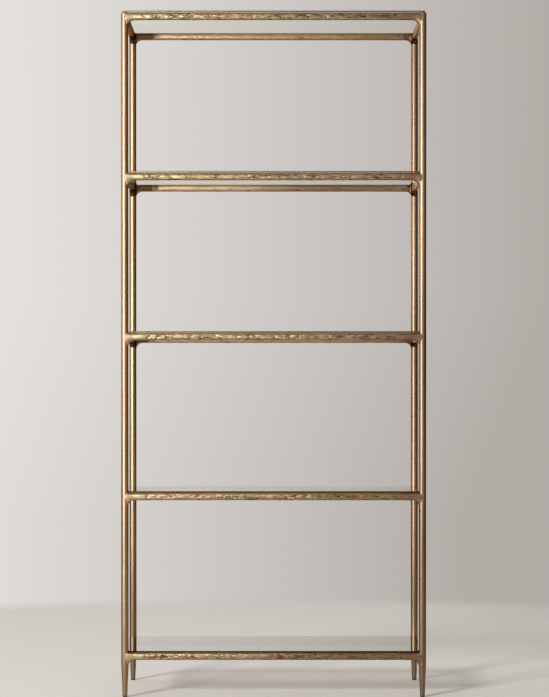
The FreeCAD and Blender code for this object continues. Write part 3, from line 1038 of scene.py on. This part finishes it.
def stage_sheet(name, spot, facing, reach, material):
    """A square sheet of the stage."""
    sheet = bmesh.new()
    turn = UP.rotation_difference(facing).to_matrix()
    bmesh.ops.create_grid(sheet, x_segments=1, y_segments=1, size=reach)
    bmesh.ops.rotate(sheet, cent=(0, 0, 0), matrix=turn, verts=sheet.verts)
    bmesh.ops.translate(sheet, vec=spot, verts=sheet.verts)
    mesh = bpy.data.meshes.new(name)
    sheet.to_mesh(mesh)
    sheet.free()
    mesh.materials.append(material)
    made = bpy.data.objects.new(name, mesh)
    bpy.context.scene.collection.objects.link(made)
    return made


def hang_flag(name, spot, facing, reach, colour):
    """A card that only the metal's soft reflections see."""
    recipe = Recipe(bpy.data.materials.new(name + "_cloth"))
    shader = recipe.principled(Base_Color=(*colour, 1.0), Roughness=0.9)
    recipe.show(recipe.either(recipe.ray("Singular"), shader, recipe.clear()))
    flag = stage_sheet(name, spot, facing, reach, recipe.owner)
    flag.visible_camera = False
    flag.visible_diffuse = False
    flag.visible_transmission = False
    flag.visible_shadow = False


def set_camera(scene, stage):
    """The camera at the photograph's viewing angle."""
    data = bpy.data.cameras.new("photo_camera")
    data.lens = stage.lens
    data.sensor_width = 36.0
    data.shift_x = stage.shift_x
    data.shift_y = stage.shift_y
    camera = bpy.data.objects.new("photo_camera", data)
    camera.location = (0.0, -stage.camera_distance, stage.camera_height)
    camera.rotation_euler = (math.pi / 2 - stage.camera_tilt, 0.0, 0.0)
    scene.collection.objects.link(camera)
    scene.camera = camera


def lay_floor(stage):
    """A pale floor whose round rim fades into the backdrop, dimmer where it is mirrored."""
    recipe = Recipe(bpy.data.materials.new("pale_floor"))
    reach = recipe.add("ShaderNodeVectorMath", operation="LENGTH")
    recipe.join(recipe.coordinates(), reach.inputs[0])
    fade_start = stage.floor_reach - stage.floor_fade
    rim = recipe.spread(reach.outputs["Value"], fade_start, stage.floor_reach)
    dim = tuple(MIRRORED_FLOOR * part for part in stage.floor_colour)
    colour = recipe.mix(recipe.ray("Glossy"), stage.floor_colour, dim)
    shader = recipe.principled(Base_Color=colour, Roughness=0.75, IOR=1.3)
    recipe.show(recipe.either(rim, shader, recipe.clear()))
    stage_sheet("floor", Vector(), UP, stage.floor_reach, recipe.owner)


def hang_backdrop(scene, stage):
    """A plain warm grey backdrop lit from the left, and a dim room that only soft reflections see."""
    world = bpy.data.worlds.new("studio")
    scene.world = world
    recipe = Recipe(world, "ShaderNodeOutputWorld")
    direction = recipe.add("ShaderNodeSeparateXYZ")
    recipe.join(recipe.add("ShaderNodeTexCoord").outputs["Generated"], direction.inputs[0])
    across, ahead, up = direction.outputs

    # The backdrop, which the camera and the glass see
    turned = recipe.spread(across, -BACKDROP_TURN, BACKDROP_TURN)
    lowered = recipe.spread(up, HORIZON_TOP, HORIZON_BOTTOM, 0.0, HORIZON_SHADE)
    backdrop = recipe.mix(recipe.math("ADD", turned, lowered), stage.backdrop_left, stage.backdrop_right)

    # The room behind the camera, darker on the right
    rightward = recipe.spread(across, 0.0, 1.0)
    corner_colour = tuple(ROOM_CORNER * part for part in stage.room_colour)
    room = recipe.mix(rightward, stage.room_colour, corner_colour)
    leaning = recipe.math("ADD", recipe.math("MULTIPLY", rightward, ROOM_LEAN), ahead)
    behind = recipe.spread(leaning, ROOM_START, ROOM_END)
    soft = recipe.math("SUBTRACT", recipe.ray("Glossy"), recipe.ray("Singular"))
    around = recipe.mix(recipe.math("MULTIPLY", behind, soft), backdrop, room)

    # What is seen or mirrored, and the soft light that everything else gets
    seen = recipe.add("ShaderNodeBackground")
    recipe.join(around, seen.inputs["Color"])
    ambient = recipe.add("ShaderNodeBackground")
    ambient.inputs["Color"].default_value = (*AMBIENT_COLOUR, 1.0)
    ambient.inputs["Strength"].default_value = stage.ambient
    viewed = recipe.math("MAXIMUM", recipe.ray("Camera"), recipe.ray("Glossy"))
    viewed = recipe.math("MAXIMUM", viewed, recipe.ray("Transmission"))
    recipe.show(recipe.either(viewed, ambient.outputs["Background"], seen.outputs["Background"]))


def set_lamp(name, power, size, spot, target):
    """A soft rectangular lamp that the glass doesn't mirror."""
    data = bpy.data.lights.new(name, "AREA")
    data.shape = "RECTANGLE"
    data.size, data.size_y = size
    data.energy = power
    recipe = Recipe(data, "ShaderNodeOutputLight")
    emission = recipe.add("ShaderNodeEmission")
    recipe.join(recipe.math("SUBTRACT", 1.0, recipe.ray("Singular")), emission.inputs["Strength"])
    recipe.show(emission.outputs["Emission"])
    lamp = bpy.data.objects.new(name, data)
    lamp.location = spot
    lamp.rotation_euler = (target - spot).to_track_quat("-Z", "Y").to_euler()
    bpy.context.scene.collection.objects.link(lamp)
    return lamp


class ETAGERE_PT_sidebar(Panel):
    """Lists the etagere's pieces in the order they are made"""

    bl_label = "Etagere"
    bl_idname = "ETAGERE_PT_sidebar"
    bl_space_type = "VIEW_3D"
    bl_region_type = "UI"
    bl_category = "Etagere"

    def draw(self, context):
        for step in STEPS:
            self.layout.operator(step.bl_idname)


STEPS = (ETAGERE_OT_legs, ETAGERE_OT_rails, ETAGERE_OT_pads, ETAGERE_OT_glides, ETAGERE_OT_glass,
         ETAGERE_OT_stage)
CLASSES = (ForgingSettings, FinishSettings, StageSettings, EtagereSettings, *STEPS, ETAGERE_PT_sidebar)


def register():
    for each in CLASSES:
        bpy.utils.register_class(each)
    bpy.types.Scene.etagere = PointerProperty(type=EtagereSettings)


def unregister():
    del bpy.types.Scene.etagere
    for each in reversed(CLASSES):
        bpy.utils.unregister_class(each)


def main():
    register()
    bpy.ops.etagere.legs()
    bpy.ops.etagere.rails()
    bpy.ops.etagere.pads()
    bpy.ops.etagere.glides()
    bpy.ops.etagere.glass()
    bpy.ops.etagere.stage()


if __name__ == "__main__":
    main()
